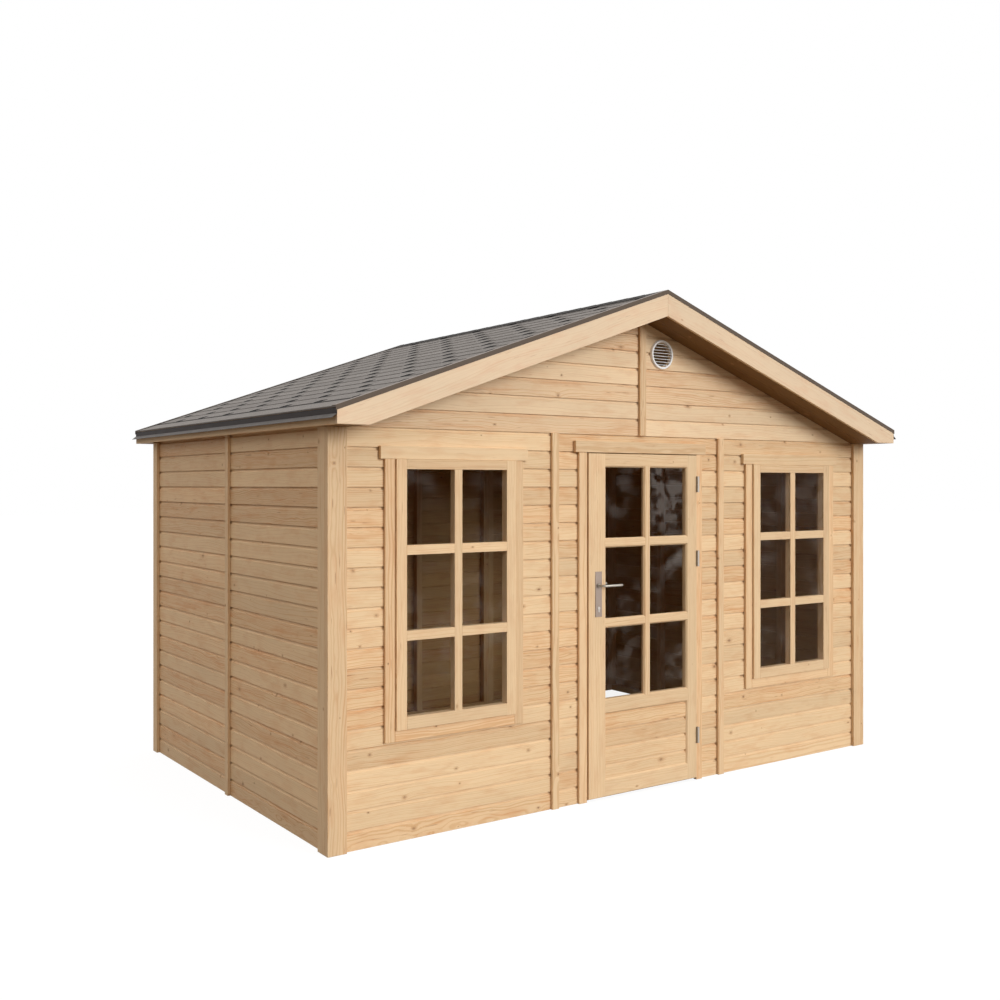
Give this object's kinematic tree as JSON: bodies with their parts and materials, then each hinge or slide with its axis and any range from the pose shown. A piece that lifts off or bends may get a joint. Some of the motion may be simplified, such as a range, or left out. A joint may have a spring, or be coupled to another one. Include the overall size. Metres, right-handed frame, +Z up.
{
  "type": "garden shed",
  "caption": "Timber garden shed with a shallow shingled gable roof, boarded walls, casement windows beside a glazed hinged door and a round gable vent.",
  "frame": {"origin": "centre of the walls' footprint on the ground, midway between the roof's ends and between its eaves", "axes": "+X runs along the front wall to the right as seen from outside, +Y runs from the front wall to the rear wall, +Z is up"},
  "size_m": [4.052, 2.916, 2.78],
  "materials": {
    "cladding": "planed softwood",
    "trim": "planed softwood",
    "joinery": "planed softwood",
    "framing": "sawn softwood",
    "soffit": "planed softwood",
    "shingle": "mineral granules",
    "verge_metal": "satin",
    "drip_metal": "satin",
    "vent_plastic": "satin",
    "hinge_steel": "satin",
    "lock_steel": "satin",
    "glass": "clear"
  },
  "bodies": {
    "shed": {"front_panel_left": "cladding", "front_panel_right": "cladding", "door_panel_left": "cladding", "door_panel_right": "cladding", "door_panel_top": "cladding", "left_panels": "cladding", "right_panels": "cladding", "rear_panels": "cladding", "front_gable": "cladding", "rear_gable": "cladding", "front_frames": "framing", "left_frame": "framing", "right_frame": "framing", "rear_frame": "framing", "door_frame": "framing", "gable_posts": "framing", "purlins": "framing", "rafters": "framing", "roof_boards_left": "framing", "roof_boards_right": "framing", "shingles_left": "shingle", "shingles_right": "shingle", "ridge_cap": "shingle", "bargeboards": "trim", "front_verge_trim": "verge_metal", "rear_verge_trim": "verge_metal", "eave_fascias": "trim", "drip_edges": "drip_metal", "soffit_boards": "soffit", "corner_trims": "trim", "cover_battens": "trim", "window_casings": "trim", "head_boards": "trim", "window_sashes": "joinery", "window_glass": "glass", "door_casing": "trim", "gable_vent": "vent_plastic", "hinge_knuckles": "hinge_steel"},
    "door": {"door_leaf": "joinery", "door_boarding": "cladding", "door_glass": "glass", "hinge_leaves": "hinge_steel", "lock_plates": "lock_steel"},
    "handle": {"door_lever": "lock_steel"}
  },
  "joints": [
    {"name": "door_hinge", "type": "hinge", "parent": "shed", "child": "door", "pos_m": [0.4115, -1.2715, 0], "axis": [0, 0, 1], "range_deg": [0, 110]},
    {"name": "lever_turn", "type": "hinge", "parent": "door", "child": "handle", "pos_m": [-0.3375, -1.2475, 1.169], "axis": [0, 1, 0], "range_deg": [0, 40], "stiffness_Nm_per_rad": 1.5, "springref_deg": -28.65}
  ]
}
